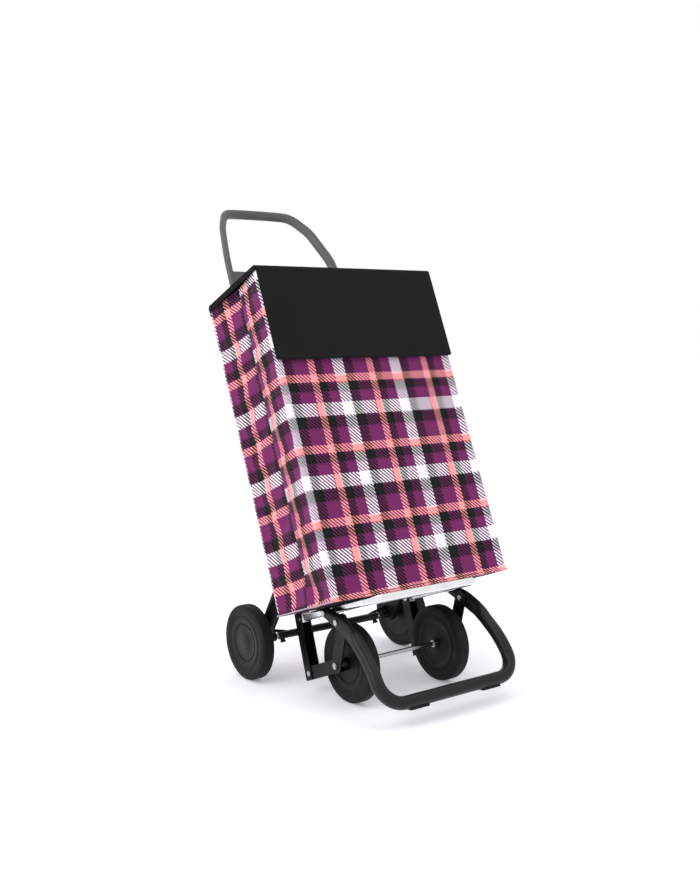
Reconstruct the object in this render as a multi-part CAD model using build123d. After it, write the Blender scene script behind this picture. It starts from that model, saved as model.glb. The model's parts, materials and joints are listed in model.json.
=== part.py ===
"""Four-wheeled shopping trolley: an aluminium and steel chassis that carries a fabric bag.

The chassis is drawn upright.  A place on it is (x, ahead, up): x to the right, ahead in front
of the bag's back panel, and up along that panel, all in millimetres, with the bag's lower
back edge at zero.  Two wheels stand under the bag's front and two on a carriage behind it, so
the finished trolley leans back by the angle that puts all four wheels on the ground.  The row
frame has +Z up, -Y ahead and its origin on the ground, under the middle of the whole box.
"""
import os
from math import atan2, cos, degrees, hypot, radians, sin

from build123d import *

# ---- bag ----
BAG_WIDTH = 411.0
BAG_DEPTH = 190.0
BAG_BACK_HEIGHT = 608.0
BAG_FRONT_RISE = 2.0       # the front top edge is this much above the back one
BASE_DROP = 9.0            # the base falls by this much from the back to the front
PANEL = 2.0                # fabric with its lining
BASE_BOARD = 4.0
SIDE_FOLD = 9.0            # the side's middle fold stands in by this much
FOLD_AHEAD = 100.0
BOARD_GAP = 1.5            # base board to the side's fold

# ---- lid and flap ----
LID = 3.0
LID_GAP = 2.0              # lid above the bag's front top edge
FLAP = 2.8
FLAP_LENGTH = 183.0
FLAP_GAP = 0.6             # flap in front of the bag's front panel
FLAP_HINGE_GAP = 2.0       # flap's top edge below its fold line
PIPING_RADIUS = 2.4
SEAM_GAP = 0.4
LID_PIVOT_RISE = 0.5       # lid's fold line above its top face
LID_PIVOT_AHEAD = 1.0

# ---- rails and handle ----
RAIL_SPACING = 260.0
RAIL_RADIUS = 9.0
RAIL_WALL = 1.5
RAIL_FOOT = -16.0
HANDLE_RADIUS = 8.5
HANDLE_WALL = 2.0
HANDLE_BEHIND = 11.0
HANDLE_TOP = 864.0
HANDLE_SET_BACK = 60.0     # handle's top behind its legs
HANDLE_BEND_UP = 684.0     # the legs are straight below here
BRIDGE_LOW = 624.0
BRIDGE_TOP = 696.0
BRIDGE_PLATE = 16.4
BRIDGE_WALL = 4.0
BLOCK_HEIGHT = 24.0        # the bridge's socket blocks
SOCKET_DEPTH = 18.0        # the rails stand this far in the bridge
SOCKET_WEB = 1.5           # between a rail and the handle's leg ahead of it
STRAP_WIDTH = 32.0
STRAP = 1.6
STRAP_SPACING = 150.0
STRAP_OVERLAP = 50.0       # strap sewn to the back panel
STRAP_ON_BRIDGE = 20.0     # strap fixed to the bridge's front

# ---- platform and side trusses ----
BAR_HEIGHT = 15.0
BAR_GAP = 1.0              # bar's top below the bag's base
BAR_END_GAP = 0.6          # bar's back end to the rail
BAR_WIDTH = 12.0
BAR_WALL = 1.5
BAR_CORNER = 28.0
BAR_SET_BACK = 4.0         # front bar's centre behind the bag's front panel
BRACE_WIDTH = 18.0
BRACE_HEIGHT = 10.0
BRACE_CORNER = 3.0
BRACE_GAP = 6.0            # brace to the leg bolt's head
SHEET = 2.0                # steel of the channels
UPRIGHT_DEPTH = 20.0
UPRIGHT_RAKE = 9.0         # upright's foot behind its head
UPRIGHT_HEAD = 3.0
LOWER_RADIUS = 12.5
LOWER_GAP = 0.6            # lower channel's round end to the upright's web
RAIL_GAP = 2.0             # rail to the upright's web
STAY = 3.0
STAY_RADIUS = 14.0
LEG_BOLT_AHEAD = 78.0
STAY_BOLT = (110.0, -38.0)

# ---- foot loop ----
LOOP_RADIUS = 11.5
LOOP_WALL = 1.6
LOOP_PLATE = 14.0
LOOP_TIP_RADIUS = 10.5     # the leg's flat end at its upper bolt
LOOP_FLAT_RADIUS = 16.0    # and at the stay bolt
LOOP_FLAT_GAP = 0.6        # the leg stays flat this far past the stay plate
LOOP_FLARE = 18.0          # length over which the leg turns from flat to round
LOOP_SPLAY = 5.0           # each leg's foot outside its head
LOOP_BENDS = (80.0, 170.0)
LOOP_REACH = 193.0
LOOP_BOTTOM = -199.0
LOOP_CORNER = 42.0
PAD_LENGTH = 40.0
PAD_WIDTH = 15.0
PAD_DEPTH = 4.0
PAD_SEAT = 1.5             # of the pad's depth, fitted round the tube
PAD_SPACING = 168.0
PARKED_LEAN = 11.5         # lean when it stands on the front wheels and the foot loop

# ---- wheels and axles ----
WHEEL_RADIUS = 72.5
TYRE_WIDTH = 26.0
TYRE_SHOULDER = 5.0
HUB_RADIUS = 49.0
HUB_RIM = 4.0
HUB_WIDTH = 23.0
DISC = 2.5
CAP_GROOVE = 0.8
BOSS_RADIUS = 12.0
AXLE_RADIUS = 4.0
RUNNING_GAP = 0.05
FRONT_AXLE = (57.0, -110.0)
TYRE_GAP = 1.5             # front tyre to the lower channel
REAR_AXLE = (-146.0, -23.0)
REAR_TRACK = 378.0
SIDE_PLAY = 0.5            # between a hub's boss and its neighbour
COLLAR_RADIUS = 7.0
COLLAR = 4.0
AXLE_CLIP = 1.2
SLEEVE_RADIUS = 7.5

# ---- rear carriage ----
PIVOT_UP = 60.0
ARM = 12.0
ARM_RADIUS = 15.0
ARM_GAP = 12.0             # arm inboard of the wheel
ARM_RECESS = 3.0
ARM_BOSS_RADIUS = 9.0
ARM_BOSS = 21.0            # boss inboard of the arm
TUBE_RADIUS = 7.5
TUBE_WALL = 1.5
TUBE_PLUG = 2.0
TUBE_END_GAP = 9.0         # tube's end to the arm's boss
GUSSET = 3.0
GUSSET_REACH = 18.0        # gusset along the tube
GUSSET_RISE = (1.0, 11.5)  # above the tube, at the tube's and at the arm's end
CATCH_FROM_PIVOT = 48.0
CATCH_RADIUS = 4.0
CATCH_END_GAP = 1.0        # catch pin's end to the clip's block on the rail
CATCH_PLAY = 1.0
CLIP_HEIGHT = 24.0
CLIP_WALL = 3.0
CLIP_GAP = 0.6
JAW_WALL = 4.0
BUTTON_INBOARD = 7.0       # button's centre from the tube's end
BUTTON_RADIUS = 4.5
BUTTON_HEAD = 5.5
BUTTON_HEAD_DEPTH = 3.0
BUTTON_TRAVEL = 3.0
BUTTON_STEM = 11.0
PIN_HEAD_GAP = 0.3

# ---- fasteners ----
BOLT_RADIUS = 3.0
HEAD_RADIUS = 5.0
HEAD = 2.5
NUT_WIDTH = 11.0
NUT = 3.0
SPACER_WALL = 3.0

RAIL_X = RAIL_SPACING / 2
RAIL_BEHIND = HANDLE_BEHIND + HANDLE_RADIUS + SOCKET_WEB + RAIL_RADIUS
CHANNEL_WIDTH = 2 * (RAIL_RADIUS + SHEET)
CHANNEL_IN = RAIL_X - CHANNEL_WIDTH / 2
CHANNEL_OUT = RAIL_X + CHANNEL_WIDTH / 2
LOWER_OUT = CHANNEL_OUT - SHEET
STAY_OUT = LOWER_OUT + STAY
LOOP_X = STAY_OUT + LOOP_PLATE / 2
FRONT_WHEEL_X = CHANNEL_IN + SHEET - TYRE_GAP - TYRE_WIDTH / 2
REAR_WHEEL_X = REAR_TRACK / 2
LEAN = degrees(atan2(REAR_AXLE[1] - FRONT_AXLE[1], FRONT_AXLE[0] - REAR_AXLE[0]))
BAG_SIDE = BAG_WIDTH / 2
BAG_FRONT_HEIGHT = BAG_BACK_HEIGHT + BAG_FRONT_RISE
LID_UNDER = BAG_FRONT_HEIGHT + LID_GAP
LID_PIVOT = (LID_PIVOT_AHEAD, LID_UNDER + LID + LID_PIVOT_RISE)
FLAP_MIDDLE = BAG_DEPTH + FLAP_GAP + FLAP / 2
FLAP_PIVOT = (FLAP_MIDDLE, LID_UNDER + LID / 2)
PIVOT = (-RAIL_BEHIND, PIVOT_UP)
ARM_IN = REAR_WHEEL_X - TYRE_WIDTH / 2 - ARM_GAP - ARM
ARM_OUT = ARM_IN + ARM
BOSS_IN = ARM_IN - ARM_BOSS
TUBE_END = BOSS_IN - TUBE_END_GAP
BUTTON_PLACE = TUBE_END - BUTTON_INBOARD
UPRIGHT_BACK = -RAIL_BEHIND - RAIL_RADIUS - SHEET - RAIL_GAP

nodes = {}


# ---- helpers ----
def at(x, ahead, up):
    """A chassis place as a vector."""
    return Vector(x, -ahead, up)


def side_plane(x):
    """The plane across x whose own axes are ahead and up."""
    return Plane(origin=(x, 0, 0), x_dir=(0, -1, 0), z_dir=(-1, 0, 0))


def slab(sketch, x_low, x_high):
    """A sketch in ahead and up, made solid between two x values."""
    return extrude(side_plane(x_high) * sketch, amount=x_high - x_low)


def outline(*points):
    return make_face(Polyline(*points, close=True))


def capsule(start, end, radius):
    """A round-ended strip between two (ahead, up) places."""
    length = hypot(end[0] - start[0], end[1] - start[1])
    turn = degrees(atan2(end[1] - start[1], end[0] - start[0]))
    middle = Pos((start[0] + end[0]) / 2, (start[1] + end[1]) / 2)
    return middle * SlotCenterToCenter(length, 2 * radius, rotation=turn)


def rod(place, radius, x_low, x_high):
    """A round bar across the trolley at an (ahead, up) place."""
    middle = at((x_low + x_high) / 2, *place)
    return Pos(middle) * Rot(0, 90, 0) * Cylinder(radius, x_high - x_low)


def ring(place, radius, bore, x_low, x_high):
    return rod(place, radius, x_low, x_high) - rod(place, bore, x_low - 1, x_high + 1)


def box(x_low, x_high, ahead_low, ahead_high, up_low, up_high):
    size = Box(x_high - x_low, ahead_high - ahead_low, up_high - up_low)
    return Pos(at((x_low + x_high) / 2, (ahead_low + ahead_high) / 2, (up_low + up_high) / 2)) * size


def other_side(shape):
    return mirror(shape, about=Plane.YZ)


def both(shape):
    """A piece and its mirror image, as separate solids of one node."""
    return Compound(children=[*Part(shape.wrapped).solids(), *Part(other_side(shape).wrapped).solids()])


def pair(name, right):
    """A right-hand piece and its left-hand mirror image, each in its own node."""
    nodes["right_" + name] = right
    nodes["left_" + name] = other_side(right)


def pipe(path, radius, wall=0.0):
    """A round tube, or a bar with no wall, along a path of lines and tangent arcs."""
    start = Plane(origin=path @ 0, z_dir=path % 0)
    tube = sweep(start * Circle(radius), path=path)
    if wall:
        tube -= sweep(start * Circle(radius - wall), path=path)
    return tube


def base_at(ahead):
    """Height of the bag's base."""
    return -BASE_DROP * ahead / BAG_DEPTH


# ---- bag ----
def bag_profile():
    return outline((0, 0), (BAG_DEPTH, -BASE_DROP), (BAG_DEPTH, BAG_FRONT_HEIGHT), (0, BAG_BACK_HEIGHT))


def make_bag():
    whole = slab(bag_profile(), -BAG_SIDE, BAG_SIDE)
    lowest = -BASE_DROP - 1
    highest = BAG_FRONT_HEIGHT + 1
    nodes["bag_front_panel"] = whole & box(
        -BAG_SIDE, BAG_SIDE, BAG_DEPTH - PANEL, BAG_DEPTH, lowest, highest)
    nodes["bag_back_panel"] = whole & box(-BAG_SIDE, BAG_SIDE, 0, PANEL, lowest, highest)
    outer = [(BAG_SIDE, -PANEL), (BAG_SIDE - SIDE_FOLD, -FOLD_AHEAD), (BAG_SIDE, PANEL - BAG_DEPTH)]
    inner = [(x - PANEL, y) for x, y in reversed(outer)]
    plan = Plane.XY.offset(lowest) * outline(*outer, *inner)
    side = extrude(plan, amount=highest - lowest) & whole
    pair("bag_side", side)
    board_x = BAG_SIDE - SIDE_FOLD - PANEL - BOARD_GAP
    board = outline((PANEL, base_at(PANEL)), (BAG_DEPTH - PANEL, base_at(BAG_DEPTH - PANEL)),
                    (BAG_DEPTH - PANEL, base_at(BAG_DEPTH - PANEL) + BASE_BOARD),
                    (PANEL, base_at(PANEL) + BASE_BOARD))
    nodes["bag_base_board"] = slab(board, -board_x, board_x)
    strap_x = STRAP_SPACING / 2
    strap_top = BRIDGE_LOW + STRAP_ON_BRIDGE
    strap = box(strap_x - STRAP_WIDTH / 2, strap_x + STRAP_WIDTH / 2, -STRAP, 0,
                BAG_BACK_HEIGHT - STRAP_OVERLAP, strap_top)
    nodes["bag_hanging_straps"] = both(strap)


def make_lid():
    lid_side = BAG_SIDE - PIPING_RADIUS - SEAM_GAP / 2
    lid_back = LID_PIVOT_AHEAD / 2
    nodes["lid_panel"] = box(-lid_side, lid_side, lid_back, BAG_DEPTH, LID_UNDER, LID_UNDER + LID)
    cord_run = BAG_DEPTH - 2 * PIPING_RADIUS
    cord = Rot(90, 0, 0) * Cylinder(PIPING_RADIUS, cord_run)
    cord_x = lid_side + PIPING_RADIUS
    cord_up = LID_UNDER + LID / 2
    nodes["lid_piping"] = both(Pos(at(cord_x, BAG_DEPTH / 2, cord_up)) * cord)
    flap_top = FLAP_PIVOT[1] - FLAP_HINGE_GAP
    flap_low = FLAP_PIVOT[1] - FLAP_LENGTH
    hem = 4.0
    near = FLAP_MIDDLE - FLAP / 2
    nodes["lid_flap"] = box(-BAG_SIDE, BAG_SIDE, near, near + FLAP, flap_low + hem, flap_top)
    nodes["flap_hem"] = box(-BAG_SIDE, BAG_SIDE, near, near + FLAP, flap_low, flap_low + hem)


# ---- rails and handle ----
def make_rails():
    rail_top = BRIDGE_LOW + SOCKET_DEPTH
    place = at(RAIL_X, -RAIL_BEHIND, (RAIL_FOOT + rail_top) / 2)
    length = rail_top - RAIL_FOOT
    rail = Pos(place) * (Cylinder(RAIL_RADIUS, length) - Cylinder(RAIL_RADIUS - RAIL_WALL, length + 2))
    rail -= rod(PIVOT, AXLE_RADIUS, RAIL_X - 2 * RAIL_RADIUS, RAIL_X + 2 * RAIL_RADIUS)
    rail -= rod(upright_bolt(), BOLT_RADIUS, RAIL_X - 2 * RAIL_RADIUS, RAIL_X + 2 * RAIL_RADIUS)
    pair("rail", rail)


def make_handle():
    leg_foot = BRIDGE_LOW + BRIDGE_WALL
    rise = HANDLE_TOP - HANDLE_BEND_UP
    legs = [(RAIL_X, 0.0, leg_foot - HANDLE_BEND_UP), (RAIL_X, 0.0, 0.23 * rise),
            (0.83 * RAIL_X, 0.42 * HANDLE_SET_BACK, 0.70 * rise),
            (0.63 * RAIL_X, 0.78 * HANDLE_SET_BACK, 0.95 * rise),
            (0.31 * RAIL_X, HANDLE_SET_BACK, rise)]
    right = [at(x, -HANDLE_BEHIND - back, HANDLE_BEND_UP + up) for x, back, up in legs]
    left = [Vector(-point.X, point.Y, point.Z) for point in reversed(right)]
    bends = [120.0, 110.0, 46.0, 80.0]
    path = FilletPolyline(*right, *left, radius=[*bends, *reversed(bends)])
    nodes["handle_arch"] = pipe(path, HANDLE_RADIUS, HANDLE_WALL)
    plate_back = -STRAP - BRIDGE_PLATE
    bridge = box(-RAIL_X, RAIL_X, plate_back, -STRAP, BRIDGE_LOW, BRIDGE_TOP)
    reach = RAIL_RADIUS + BRIDGE_WALL
    block_top = BRIDGE_LOW + BLOCK_HEIGHT
    block = box(RAIL_X - reach, RAIL_X + reach, -RAIL_BEHIND - reach, -STRAP, BRIDGE_LOW, block_top)
    block = fillet(block.edges().filter_by(Axis.Z), BRIDGE_WALL)
    bridge += [block, other_side(block)]
    leg_length = BRIDGE_TOP - leg_foot
    socket = Cylinder(RAIL_RADIUS, SOCKET_DEPTH)
    leg = Cylinder(HANDLE_RADIUS, leg_length)
    for x in (RAIL_X, -RAIL_X):
        bridge -= Pos(at(x, -RAIL_BEHIND, BRIDGE_LOW + SOCKET_DEPTH / 2)) * socket
        bridge -= Pos(at(x, -HANDLE_BEHIND, leg_foot + leg_length / 2)) * leg
    nodes["handle_bridge"] = bridge


# ---- platform and side trusses ----
def bar_up(ahead):
    """Height of the platform bar's centre line."""
    return base_at(ahead) - BAR_GAP - BAR_HEIGHT / 2


def upright_bolt():
    return (-RAIL_BEHIND, bar_up(0))


def leg_bolt():
    return (LEG_BOLT_AHEAD, base_at(LEG_BOLT_AHEAD) - BAR_GAP - LOOP_TIP_RADIUS)


def upright_back(up):
    """The raked upright's back edge at one height."""
    foot = FRONT_AXLE[1] - LOWER_RADIUS
    return UPRIGHT_BACK - UPRIGHT_RAKE * (UPRIGHT_HEAD - up) / (UPRIGHT_HEAD - foot)


def truss_corner():
    """The (ahead, up) place where the upright meets the lower channel."""
    up = FRONT_AXLE[1]
    return (upright_back(up) + SHEET + LOWER_GAP + LOWER_RADIUS, up)


def make_platform():
    back = -RAIL_BEHIND + RAIL_RADIUS + BAR_END_GAP
    front = BAG_DEPTH - BAR_SET_BACK
    corners = [(RAIL_X, back), (RAIL_X, front), (-RAIL_X, front), (-RAIL_X, back)]
    points = [at(x, ahead, bar_up(ahead)) for x, ahead in corners]
    path = FilletPolyline(*points, radius=BAR_CORNER)
    section = RectangleRounded(BAR_WIDTH, BAR_HEIGHT, BAR_WIDTH / 3)
    hollow = (BAR_WIDTH - 2 * BAR_WALL, BAR_HEIGHT - 2 * BAR_WALL)
    section -= RectangleRounded(*hollow, BAR_WIDTH / 3 - BAR_WALL)
    start = Plane(origin=path @ 0, x_dir=(1, 0, 0), z_dir=path % 0)
    bar = sweep(start * section, path=path)
    bore = leg_bolt()
    for low, high in ((RAIL_X - BAR_WIDTH, RAIL_X + BAR_WIDTH), (-RAIL_X - BAR_WIDTH, BAR_WIDTH - RAIL_X)):
        bar -= rod(bore, BOLT_RADIUS, low, high)
    nodes["platform_bar"] = bar
    brace_x = RAIL_X - BAR_WIDTH / 2
    brace = RectangleRounded(BRACE_WIDTH, BRACE_HEIGHT, BRACE_CORNER)
    brace_ahead = LEG_BOLT_AHEAD + HEAD_RADIUS + BRACE_GAP + BRACE_WIDTH / 2
    middle = Pos(brace_ahead, bar_up(brace_ahead))
    nodes["platform_brace"] = slab(middle * brace, -brace_x, brace_x)


def make_upright():
    head = UPRIGHT_HEAD
    foot = FRONT_AXLE[1] - LOWER_RADIUS
    back = UPRIGHT_BACK
    front = back + UPRIGHT_DEPTH
    face = outline((back, head), (front, head), (front - UPRIGHT_RAKE, foot), (back - UPRIGHT_RAKE, foot))
    web = outline((back, head), (back + SHEET, head), (back + SHEET - UPRIGHT_RAKE, foot),
                  (back - UPRIGHT_RAKE, foot))
    channel = slab(face, CHANNEL_IN, CHANNEL_IN + SHEET)
    channel += slab(face, CHANNEL_OUT - SHEET, CHANNEL_OUT)
    channel += slab(web, CHANNEL_IN, CHANNEL_OUT)
    for place in (upright_bolt(), truss_corner()):
        channel -= rod(place, BOLT_RADIUS, CHANNEL_IN - 1, CHANNEL_OUT + 1)
    pair("upright_channel", channel)


def make_lower_channel():
    corner = truss_corner()
    inner = CHANNEL_IN + SHEET
    face = capsule(corner, FRONT_AXLE, LOWER_RADIUS)
    floor_low = FRONT_AXLE[1] - LOWER_RADIUS
    web_front = FRONT_AXLE[0] - LOWER_RADIUS / 2
    channel = slab(face, inner, inner + SHEET)
    channel += slab(face, LOWER_OUT - SHEET, LOWER_OUT)
    channel += box(inner, LOWER_OUT, corner[0], web_front, floor_low, floor_low + SHEET)
    channel -= rod(corner, BOLT_RADIUS, CHANNEL_IN, CHANNEL_OUT)
    channel -= rod(FRONT_AXLE, AXLE_RADIUS, CHANNEL_IN, CHANNEL_OUT)
    pair("lower_channel", channel)


def make_stay():
    stay = slab(capsule(FRONT_AXLE, STAY_BOLT, STAY_RADIUS), LOWER_OUT, STAY_OUT)
    stay -= rod(FRONT_AXLE, AXLE_RADIUS, LOWER_OUT - 1, STAY_OUT + 1)
    stay -= rod(STAY_BOLT, BOLT_RADIUS, LOWER_OUT - 1, STAY_OUT + 1)
    pair("stay_plate", stay)


# ---- foot loop ----
def loop_leg():
    """The leg's corners as (ahead, up), from the stay bolt down to the bottom bar."""
    reach = LOOP_REACH - STAY_BOLT[0]
    drop = LOOP_BOTTOM - STAY_BOLT[1]
    shape = [(0.0, 0.0), (0.40, 0.20), (0.81, 0.56), (1.0, 1.0)]
    return [(STAY_BOLT[0] + reach * along, STAY_BOLT[1] + drop * down) for along, down in shape]


def hull(start, end, start_radius, end_radius):
    """A tapered round-ended strip between two (ahead, up) places."""
    ends = (Pos(*start) * Circle(start_radius)).edges() + (Pos(*end) * Circle(end_radius)).edges()
    return make_hull(ends)


def make_foot_loop():
    leg = loop_leg()
    first = Vector(*leg[0])
    along = (Vector(*leg[1]) - first).normalized()
    flat_end = first + along * (STAY_RADIUS + LOOP_FLAT_GAP)
    round_start = flat_end + along * LOOP_FLARE
    leg[0] = (round_start.X, round_start.Y)
    splay = [0.0, 0.0, LOOP_SPLAY / 2, LOOP_SPLAY]
    right = [at(LOOP_X + out, *place) for out, place in zip(splay, leg)]
    left = [Vector(-point.X, point.Y, point.Z) for point in reversed(right)]
    bends = [*LOOP_BENDS, LOOP_CORNER]
    path = FilletPolyline(*right, *left, radius=[*bends, *reversed(bends)])
    loop = pipe(path, LOOP_RADIUS, LOOP_WALL)
    plate_out = STAY_OUT + LOOP_PLATE
    plate = slab(hull(leg_bolt(), STAY_BOLT, LOOP_TIP_RADIUS, LOOP_FLAT_RADIUS), STAY_OUT, plate_out)
    plate += slab(capsule(STAY_BOLT, (flat_end.X, flat_end.Y), LOOP_FLAT_RADIUS), STAY_OUT, plate_out)
    run = path % 0
    narrow = Plane(origin=at(LOOP_X, flat_end.X, flat_end.Y), x_dir=(1, 0, 0), z_dir=run)
    wide = Plane(origin=path @ 0, x_dir=(1, 0, 0), z_dir=run)
    flare = loft([narrow * Ellipse(LOOP_PLATE / 2, LOOP_FLAT_RADIUS), wide * Circle(LOOP_RADIUS)])
    loop += [plate, flare, other_side(plate), other_side(flare)]
    for place in (leg_bolt(), STAY_BOLT):
        loop -= rod(place, BOLT_RADIUS, LOOP_X - LOOP_PLATE, LOOP_X + LOOP_PLATE)
        loop -= rod(place, BOLT_RADIUS, -LOOP_X - LOOP_PLATE, LOOP_PLATE - LOOP_X)
    pad_middle = -LOOP_RADIUS - PAD_DEPTH / 2 + PAD_SEAT
    pad = Pos(0, 0, pad_middle) * Box(PAD_LENGTH, PAD_WIDTH, PAD_DEPTH)
    pad = Pos(at(PAD_SPACING / 2, LOOP_REACH, LOOP_BOTTOM)) * Rot(PARKED_LEAN, 0, 0) * pad
    pads = pad - loop
    nodes["foot_loop"] = loop
    nodes["foot_pads"] = both(pads)


# ---- wheels and axles ----
def wheel_pieces(boss_in, boss_out, cap_bore):
    """Tyre, hub and cap about x = 0, with the cap on the +x side."""
    tyre = rod((0, 0), WHEEL_RADIUS, -TYRE_WIDTH / 2, TYRE_WIDTH / 2)
    tyre = fillet(tyre.edges(), TYRE_SHOULDER)
    tyre -= rod((0, 0), HUB_RADIUS, -TYRE_WIDTH, TYRE_WIDTH)
    half = HUB_WIDTH / 2
    hub = ring((0, 0), HUB_RADIUS, HUB_RADIUS - HUB_RIM, -half, half)
    hub += ring((0, 0), HUB_RADIUS - HUB_RIM / 2, BOSS_RADIUS / 2, -half + 1, -half + 1 + DISC)
    hub += rod((0, 0), BOSS_RADIUS, boss_in, boss_out)
    hub -= rod((0, 0), AXLE_RADIUS + RUNNING_GAP, boss_in - 1, boss_out + 1)
    cap = rod((0, 0), HUB_RADIUS - HUB_RIM, half - 1 - DISC, half - 1)
    cap -= ring((0, 0), 0.72 * HUB_RADIUS, 0.66 * HUB_RADIUS, half - 1 - CAP_GROOVE, half)
    if cap_bore:
        cap -= rod((0, 0), cap_bore, 0, half)
    return {"tyre": tyre, "hub": hub, "cap": cap}


def make_wheels():
    boss_in = -TYRE_WIDTH / 2 - 1
    front_boss_out = CHANNEL_IN + SHEET - SIDE_PLAY - FRONT_WHEEL_X
    rear_boss_out = HUB_WIDTH / 2 - 2 * DISC - 1
    kinds = {"front": (FRONT_WHEEL_X, FRONT_AXLE, front_boss_out, BOSS_RADIUS),
             "rear": (REAR_WHEEL_X, REAR_AXLE, rear_boss_out, 0)}
    for kind, (x, axle, boss_out, cap_bore) in kinds.items():
        for name, piece in wheel_pieces(boss_in, boss_out, cap_bore).items():
            right = Pos(at(x, *axle)) * piece
            nodes[f"{kind}_right_{name}"] = right
            nodes[f"{kind}_left_{name}"] = other_side(right)


def nut(place, x_low, thickness, bore):
    hexagon = RegularPolygon(NUT_WIDTH / 2, 6, major_radius=False)
    body = slab(Pos(*place) * hexagon, x_low, x_low + thickness)
    return body - rod(place, bore, x_low - 1, x_low + thickness + 1)


def make_axles():
    rod_end = STAY_OUT + NUT + 1
    nodes["front_axle"] = rod(FRONT_AXLE, AXLE_RADIUS, -rod_end, rod_end)
    nodes["front_axle_nuts"] = both(nut(FRONT_AXLE, STAY_OUT, NUT, AXLE_RADIUS))
    inner = FRONT_WHEEL_X - TYRE_WIDTH / 2 - 1 - SIDE_PLAY
    collar = ring(FRONT_AXLE, COLLAR_RADIUS, AXLE_RADIUS, inner - COLLAR, inner)
    nodes["front_axle_collars"] = both(collar)
    hub_face = REAR_WHEEL_X + HUB_WIDTH / 2 - 2 * DISC
    nodes["rear_stub_axles"] = both(rod(REAR_AXLE, AXLE_RADIUS, TUBE_END, hub_face + 1))
    clip_low = hub_face - 1 + SIDE_PLAY / 2
    clip = ring(REAR_AXLE, COLLAR_RADIUS, AXLE_RADIUS, clip_low, clip_low + AXLE_CLIP)
    nodes["rear_axle_clips"] = both(clip)
    sleeve_out = REAR_WHEEL_X - TYRE_WIDTH / 2 - 1 - SIDE_PLAY
    nodes["rear_axle_sleeves"] = both(ring(REAR_AXLE, SLEEVE_RADIUS, AXLE_RADIUS, ARM_OUT, sleeve_out))


# ---- rear carriage ----
def along_arm(share):
    """An (ahead, up) place between the rear axle and the carriage's pivot."""
    return tuple(low + share * (high - low) for low, high in zip(REAR_AXLE, PIVOT))


def catch_place():
    """Where the arm's catch pin sits, between the pivot and the axle."""
    arm = hypot(PIVOT[0] - REAR_AXLE[0], PIVOT[1] - REAR_AXLE[1])
    return along_arm(1 - CATCH_FROM_PIVOT / arm)


def make_arm():
    """The plate beside the wheel, with its axle boss, catch pin and gusset."""
    arm = slab(capsule(REAR_AXLE, PIVOT, ARM_RADIUS), ARM_IN, ARM_OUT)
    recess = capsule(along_arm(0.25), along_arm(0.75), ARM_RADIUS / 2)
    arm -= slab(recess, ARM_OUT - ARM_RECESS, ARM_OUT + 1)
    arm += rod(REAR_AXLE, ARM_BOSS_RADIUS, BOSS_IN, ARM_IN)
    catch_in = RAIL_X + RAIL_RADIUS + CLIP_WALL + CATCH_END_GAP
    arm += rod(catch_place(), CATCH_RADIUS, catch_in, ARM_IN)
    top = REAR_AXLE[1] + TUBE_RADIUS
    tube_end = TUBE_END - GUSSET_REACH
    corners = [(tube_end, REAR_AXLE[1]), (tube_end, top + GUSSET_RISE[0]),
               (ARM_IN, top + GUSSET_RISE[1]), (ARM_IN, REAR_AXLE[1])]
    gusset_plane = Plane(origin=(0, GUSSET / 2 - REAR_AXLE[0], 0), x_dir=(1, 0, 0), z_dir=(0, -1, 0))
    gusset = extrude(gusset_plane * outline(*corners), amount=GUSSET)
    gusset -= rod(REAR_AXLE, TUBE_RADIUS, tube_end - 1, BOSS_IN)
    arm += gusset
    arm -= rod(REAR_AXLE, AXLE_RADIUS, BOSS_IN - 1, ARM_OUT + 1)
    arm -= rod(PIVOT, AXLE_RADIUS + RUNNING_GAP, ARM_IN - 1, ARM_OUT + 1)
    pair("rear_arm", arm)


def make_carriage():
    make_arm()
    inside = TUBE_END - TUBE_PLUG
    tube = rod(REAR_AXLE, TUBE_RADIUS, -TUBE_END, TUBE_END)
    tube -= rod(REAR_AXLE, TUBE_RADIUS - TUBE_WALL, -inside, inside)
    for x in (BUTTON_PLACE, -BUTTON_PLACE):
        hole = Cylinder(BUTTON_RADIUS + RUNNING_GAP, 2 * TUBE_RADIUS)
        tube -= Pos(at(x, REAR_AXLE[0], REAR_AXLE[1] - TUBE_RADIUS)) * hole
    nodes["rear_cross_tube"] = tube
    head_top = REAR_AXLE[1] - TUBE_RADIUS - BUTTON_TRAVEL - CLIP_GAP
    head = Cylinder(BUTTON_HEAD, BUTTON_HEAD_DEPTH)
    stem = Cylinder(BUTTON_RADIUS, BUTTON_STEM)
    button = Pos(at(BUTTON_PLACE, REAR_AXLE[0], head_top - BUTTON_HEAD_DEPTH / 2)) * head
    button += Pos(at(BUTTON_PLACE, REAR_AXLE[0], head_top + BUTTON_STEM / 2)) * stem
    pair("release_button", button)
    pin = rod(PIVOT, AXLE_RADIUS, RAIL_X - RAIL_RADIUS - CLIP_WALL, ARM_OUT + HEAD)
    pin += rod(PIVOT, 2 * AXLE_RADIUS, ARM_OUT + PIN_HEAD_GAP, ARM_OUT + HEAD)
    nodes["carriage_pivot_pins"] = both(pin)


def rail_block(up, half, x_high):
    """A block round the rail at one height, as wide as the clip's walls outside the rail."""
    reach = RAIL_RADIUS + CLIP_WALL
    block = box(RAIL_X - reach, x_high, -RAIL_BEHIND - reach, -RAIL_BEHIND + reach, up - half, up + half)
    return fillet(block.edges().filter_by(Axis.X), CLIP_WALL)


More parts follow.
